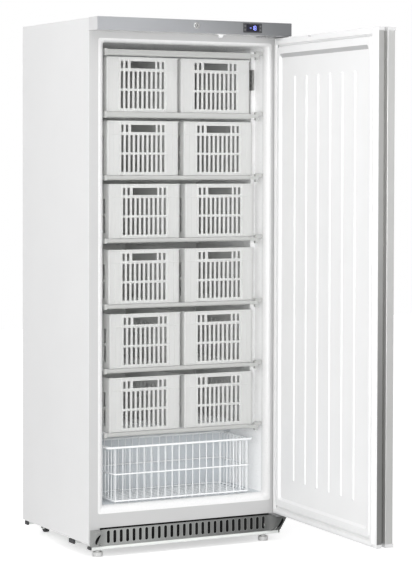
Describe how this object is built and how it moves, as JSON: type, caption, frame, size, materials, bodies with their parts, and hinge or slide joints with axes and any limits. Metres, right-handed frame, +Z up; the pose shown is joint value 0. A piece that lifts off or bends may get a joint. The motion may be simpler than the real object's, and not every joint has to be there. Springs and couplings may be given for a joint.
{
  "type": "upright freezer",
  "caption": "Tall free-standing freezer with a hinged insulated door, refrigerated shelves, pull-out slotted plastic baskets and a wire basket, on feet and rollers.",
  "frame": {"origin": "on the floor, under the middle of the cabinet's width, 258 mm behind the cabinet's face frame; with the door closed it is within 20 mm of the middle of the footprint", "axes": "+Z up, +X to the right of someone facing the door, +Y to the back"},
  "size_m": [0.8055, 1.3963, 1.896],
  "materials": {
    "white_steel": "smooth white powder coat",
    "frame_white": "smooth white powder coat, a shade greyer",
    "white_plastic": "white moulded plastic",
    "basket_plastic": "white moulded polypropylene",
    "silver_fascia": "silver metallic",
    "anodised_aluminium": "satin anodised",
    "grille_grey": "grey moulded plastic",
    "light_grey_plastic": "light grey moulded plastic",
    "base_steel": "light grey coat",
    "zinc_steel": "zinc plated",
    "white_wire": "white coated wire",
    "black_enamel": "black enamel",
    "copper": "bare copper",
    "dark_plastic": "dark moulded plastic",
    "key_plastic": "dark grey keys",
    "display_glass": "dark glossy window",
    "bright_metal": "polished nickel",
    "foam": "rigid foam",
    "gasket_rubber": "soft light grey gasket",
    "black_rubber": "black rubber",
    "bush_plastic": "grey nylon"
  },
  "bodies": {
    "cabinet": {"back_panel": "white_steel", "base_frame": "base_steel", "cabinet_insulation": "foam", "compressor": "black_enamel", "compressor_mounts": "black_rubber", "condenser_coil": "black_enamel", "control_fascia": "silver_fascia", "control_housing": "white_steel", "controller_body": "dark_plastic", "display_window": "display_glass", "door_catch": "white_plastic", "evaporator_shelves": "white_wire", "filter_dryer": "copper", "front_frame": "frame_white", "hinge_bracket_bottom": "zinc_steel", "hinge_bracket_top": "zinc_steel", "hinge_screws": "zinc_steel", "inner_liner": "white_plastic", "kick_grille": "grille_grey", "lock_barrel": "bright_metal", "mouth_collar": "white_plastic", "pipe_cover": "white_plastic", "probe_cover": "dark_plastic", "refrigerant_pipes": "copper", "shelf_trim_strips": "white_plastic", "side_panel_left": "white_steel", "side_panel_right": "white_steel", "side_plugs": "dark_plastic", "terminal_box": "dark_plastic", "top_panel": "white_steel"},
    "door": {"door_skin": "white_steel", "door_insulation": "foam", "door_liner": "white_plastic", "door_gasket": "gasket_rubber", "handle_profile": "anodised_aluminium", "door_end_caps": "white_plastic", "hinge_bushes": "bush_plastic"},
    "lock_cylinder": {"lock_cylinder": "bright_metal"},
    "lock_bolt": {"lock_bolt": "zinc_steel"},
    "key_set": {"key_set": "key_plastic"},
    "key_up": {"key_up": "key_plastic"},
    "key_down": {"key_down": "key_plastic"},
    "key_power": {"key_power": "key_plastic"},
    "foot_left": {"foot_left": "light_grey_plastic"},
    "foot_right": {"foot_right": "light_grey_plastic"},
    "roller_left": {"roller_left": "dark_plastic"},
    "roller_right": {"roller_right": "dark_plastic"},
    "wire_basket": {"wire_basket": "white_wire"},
    "basket_1_left": {"basket_1_left": "basket_plastic"},
    "basket_1_right": {"basket_1_right": "basket_plastic"},
    "basket_2_left": {"basket_2_left": "basket_plastic"},
    "basket_2_right": {"basket_2_right": "basket_plastic"},
    "basket_3_left": {"basket_3_left": "basket_plastic"},
    "basket_3_right": {"basket_3_right": "basket_plastic"},
    "basket_4_left": {"basket_4_left": "basket_plastic"},
    "basket_4_right": {"basket_4_right": "basket_plastic"},
    "basket_5_left": {"basket_5_left": "basket_plastic"},
    "basket_5_right": {"basket_5_right": "basket_plastic"},
    "basket_6_left": {"basket_6_left": "basket_plastic"},
    "basket_6_right": {"basket_6_right": "basket_plastic"}
  },
  "joints": [
    {"name": "door_hinge", "type": "hinge", "parent": "cabinet", "child": "door", "pos_m": [0.37, -0.283, 0], "axis": [0, 0, 1], "range_deg": [-86.3, 20]},
    {"name": "lock_turn", "type": "hinge", "parent": "cabinet", "child": "lock_cylinder", "pos_m": [0, -0.332, 1.8755], "axis": [0, -1, 0], "range_deg": [0, 90]},
    {"name": "lock_bolt_drop", "type": "slide", "parent": "cabinet", "child": "lock_bolt", "axis": [0, 0, -1], "range_m": [0, 0.014]},
    {"name": "key_set_press", "type": "slide", "parent": "cabinet", "child": "key_set", "axis": [0, 1, 0], "range_m": [0, 0.0008], "stiffness_N_per_m": 150},
    {"name": "key_up_press", "type": "slide", "parent": "cabinet", "child": "key_up", "axis": [0, 1, 0], "range_m": [0, 0.0008], "stiffness_N_per_m": 150},
    {"name": "key_down_press", "type": "slide", "parent": "cabinet", "child": "key_down", "axis": [0, 1, 0], "range_m": [0, 0.0008], "stiffness_N_per_m": 150},
    {"name": "key_power_press", "type": "slide", "parent": "cabinet", "child": "key_power", "axis": [0, 1, 0], "range_m": [0, 0.0008], "stiffness_N_per_m": 150},
    {"name": "foot_left_turn", "type": "hinge", "parent": "cabinet", "child": "foot_left", "pos_m": [-0.336, -0.223, 0], "axis": [0, 0, 1], "continuous": true},
    {"name": "roller_left_roll", "type": "hinge", "parent": "cabinet", "child": "roller_left", "pos_m": [-0.306, 0.3, 0.019], "axis": [1, 0, 0], "continuous": true},
    {"name": "foot_right_turn", "type": "hinge", "parent": "cabinet", "child": "foot_right", "pos_m": [0.336, -0.223, 0], "axis": [0, 0, 1], "continuous": true},
    {"name": "roller_right_roll", "type": "hinge", "parent": "cabinet", "child": "roller_right", "pos_m": [0.306, 0.3, 0.019], "axis": [1, 0, 0], "continuous": true},
    {"name": "basket_1_left_slide", "type": "slide", "parent": "cabinet", "child": "basket_1_left", "axis": [0, -1, 0], "range_m": [0, 0.3]},
    {"name": "basket_1_right_slide", "type": "slide", "parent": "cabinet", "child": "basket_1_right", "axis": [0, -1, 0], "range_m": [0, 0.3]},
    {"name": "basket_2_left_slide", "type": "slide", "parent": "cabinet", "child": "basket_2_left", "axis": [0, -1, 0], "range_m": [0, 0.3]},
    {"name": "basket_2_right_slide", "type": "slide", "parent": "cabinet", "child": "basket_2_right", "axis": [0, -1, 0], "range_m": [0, 0.3]},
    {"name": "basket_3_left_slide", "type": "slide", "parent": "cabinet", "child": "basket_3_left", "axis": [0, -1, 0], "range_m": [0, 0.3]},
    {"name": "basket_3_right_slide", "type": "slide", "parent": "cabinet", "child": "basket_3_right", "axis": [0, -1, 0], "range_m": [0, 0.3]},
    {"name": "basket_4_left_slide", "type": "slide", "parent": "cabinet", "child": "basket_4_left", "axis": [0, -1, 0], "range_m": [0, 0.3]},
    {"name": "basket_4_right_slide", "type": "slide", "parent": "cabinet", "child": "basket_4_right", "axis": [0, -1, 0], "range_m": [0, 0.3]},
    {"name": "basket_5_left_slide", "type": "slide", "parent": "cabinet", "child": "basket_5_left", "axis": [0, -1, 0], "range_m": [0, 0.3]},
    {"name": "basket_5_right_slide", "type": "slide", "parent": "cabinet", "child": "basket_5_right", "axis": [0, -1, 0], "range_m": [0, 0.3]},
    {"name": "basket_6_left_slide", "type": "slide", "parent": "cabinet", "child": "basket_6_left", "axis": [0, -1, 0], "range_m": [0, 0.3]},
    {"name": "basket_6_right_slide", "type": "slide", "parent": "cabinet", "child": "basket_6_right", "axis": [0, -1, 0], "range_m": [0, 0.3]},
    {"name": "wire_basket_slide", "type": "slide", "parent": "cabinet", "child": "wire_basket", "axis": [0, -1, 0], "range_m": [0, 0.18]}
  ],
  "couplings": [
    {"joint": "lock_bolt_drop", "follows": "lock_turn", "m_per_rad": 0.0089118}
  ]
}
